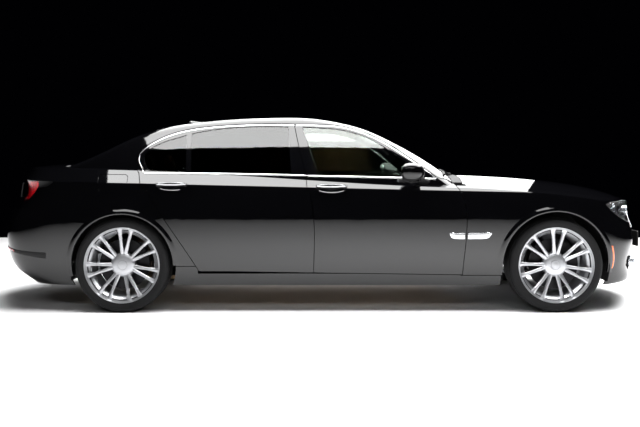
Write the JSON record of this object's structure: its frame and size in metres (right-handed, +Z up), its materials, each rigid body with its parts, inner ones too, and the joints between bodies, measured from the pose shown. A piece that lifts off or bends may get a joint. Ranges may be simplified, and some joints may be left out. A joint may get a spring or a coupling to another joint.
{
  "type": "luxury sedan",
  "caption": "Long-wheelbase four-door luxury saloon with opening doors, hood and boot lid, steered front wheels and free-turning spoked wheels.",
  "frame": {"origin": "on the ground, mid length, on the centreline", "axes": "+X forward, +Y to the car's left, +Z up"},
  "size_m": [5.216, 2.206, 1.4784],
  "materials": {
    "body_paint": "gloss black clear-coat",
    "clear_glass": "clear",
    "tinted_glass": "dark tint",
    "tyre": "matt",
    "wheel_alloy": "silver lacquer",
    "steel": "machined",
    "cast_metal": "cast",
    "dark_plastic": "grained",
    "red_lens": "clear red",
    "clear_lens": "clear",
    "seat_leather": "smooth",
    "trim_leather": "grained",
    "underbody": "matt sealant",
    "carpet": "pile"
  },
  "bodies": {
    "root": {"fender_left": "body_paint", "quarter_panel_left": "body_paint", "fender_right": "body_paint", "quarter_panel_right": "body_paint", "cant_rails": "body_paint", "roof": "body_paint", "front_bumper": "body_paint", "rear_bumper": "body_paint", "windscreen": "clear_glass", "rear_window": "tinted_glass", "tail_lamps": "red_lens", "headlamps": "clear_lens", "floor_pan": "underbody", "sills": "underbody", "hinge_posts": "underbody", "firewall": "underbody", "rear_bulkhead": "underbody", "b_pillars": "underbody", "front_rails": "underbody", "grille": "dark_plastic", "lower_grille": "dark_plastic", "cowl": "dark_plastic", "front_liners": "dark_plastic", "rear_liners": "dark_plastic", "rear_axle": "cast_metal", "engine_block": "cast_metal", "front_subframe": "cast_metal", "exhaust": "steel", "dashboard": "trim_leather", "centre_console": "trim_leather", "front_seats": "seat_leather", "rear_seat": "seat_leather"},
    "front_door_left": {"front_door_left": "body_paint", "front_door_glass_left": "clear_glass", "mirror_left": "body_paint"},
    "rear_door_left": {"rear_door_left": "body_paint", "rear_door_glass_left": "tinted_glass"},
    "knuckle_left": {"front_knuckle_left": "cast_metal"},
    "wheel_front_left": {"tyre_front_left": "tyre", "rim_front_left": "wheel_alloy"},
    "wheel_rear_left": {"tyre_rear_left": "tyre", "rim_rear_left": "wheel_alloy"},
    "front_door_right": {"front_door_right": "body_paint", "front_door_glass_right": "clear_glass", "mirror_right": "body_paint"},
    "rear_door_right": {"rear_door_right": "body_paint", "rear_door_glass_right": "tinted_glass"},
    "knuckle_right": {"front_knuckle_right": "cast_metal"},
    "wheel_front_right": {"tyre_front_right": "tyre", "rim_front_right": "wheel_alloy"},
    "wheel_rear_right": {"tyre_rear_right": "tyre", "rim_rear_right": "wheel_alloy"},
    "hood": {"hood": "body_paint"},
    "boot_lid": {"boot_lid": "body_paint", "lid_lamps": "red_lens"},
    "steering_wheel": {"steering_wheel": "dark_plastic"}
  },
  "joints": [
    {"name": "front_door_left_hinge", "type": "hinge", "parent": "root", "child": "front_door_left", "pos_m": [1.075, 0.946, 0.6], "axis": [0, 0, -1], "range_deg": [0, 66]},
    {"name": "rear_door_left_hinge", "type": "hinge", "parent": "root", "child": "rear_door_left", "pos_m": [-0.052, 0.948, 0.6], "axis": [0, 0, -1], "range_deg": [0, 64]},
    {"name": "steer_left", "type": "hinge", "parent": "root", "child": "knuckle_left", "pos_m": [1.747, 0.762, 0.35], "axis": [0, 0, 1], "range_deg": [-32, 32]},
    {"name": "wheel_front_left_spin", "type": "hinge", "parent": "knuckle_left", "child": "wheel_front_left", "pos_m": [1.747, 0.805, 0.35], "axis": [0, 1, 0], "continuous": true},
    {"name": "wheel_rear_left_spin", "type": "hinge", "parent": "root", "child": "wheel_rear_left", "pos_m": [-1.463, 0.812, 0.35], "axis": [0, 1, 0], "continuous": true},
    {"name": "front_door_right_hinge", "type": "hinge", "parent": "root", "child": "front_door_right", "pos_m": [1.075, -0.946, 0.6], "axis": [0, 0, 1], "range_deg": [0, 66]},
    {"name": "rear_door_right_hinge", "type": "hinge", "parent": "root", "child": "rear_door_right", "pos_m": [-0.052, -0.948, 0.6], "axis": [0, 0, 1], "range_deg": [0, 64]},
    {"name": "steer_right", "type": "hinge", "parent": "root", "child": "knuckle_right", "pos_m": [1.747, -0.762, 0.35], "axis": [0, 0, 1], "range_deg": [-32, 32]},
    {"name": "wheel_front_right_spin", "type": "hinge", "parent": "knuckle_right", "child": "wheel_front_right", "pos_m": [1.747, -0.805, 0.35], "axis": [0, 1, 0], "continuous": true},
    {"name": "wheel_rear_right_spin", "type": "hinge", "parent": "root", "child": "wheel_rear_right", "pos_m": [-1.463, -0.812, 0.35], "axis": [0, 1, 0], "continuous": true},
    {"name": "hood_hinge", "type": "hinge", "parent": "root", "child": "hood", "pos_m": [1.072, 0, 1.008], "axis": [0, -1, 0], "range_deg": [0, 55]},
    {"name": "boot_lid_hinge", "type": "hinge", "parent": "root", "child": "boot_lid", "pos_m": [-1.99, 0, 1.108], "axis": [0, 1, 0], "range_deg": [0, 78]},
    {"name": "steering_wheel_turn", "type": "hinge", "parent": "root", "child": "steering_wheel", "pos_m": [0.52, 0.37, 0.79], "axis": [0.9135, 0, -0.4067], "range_deg": [-480, 480]}
  ],
  "couplings": [
    {"joint": "steer_left", "follows": "steering_wheel_turn", "ratio": -0.066667},
    {"joint": "steer_right", "follows": "steering_wheel_turn", "ratio": -0.066667}
  ]
}
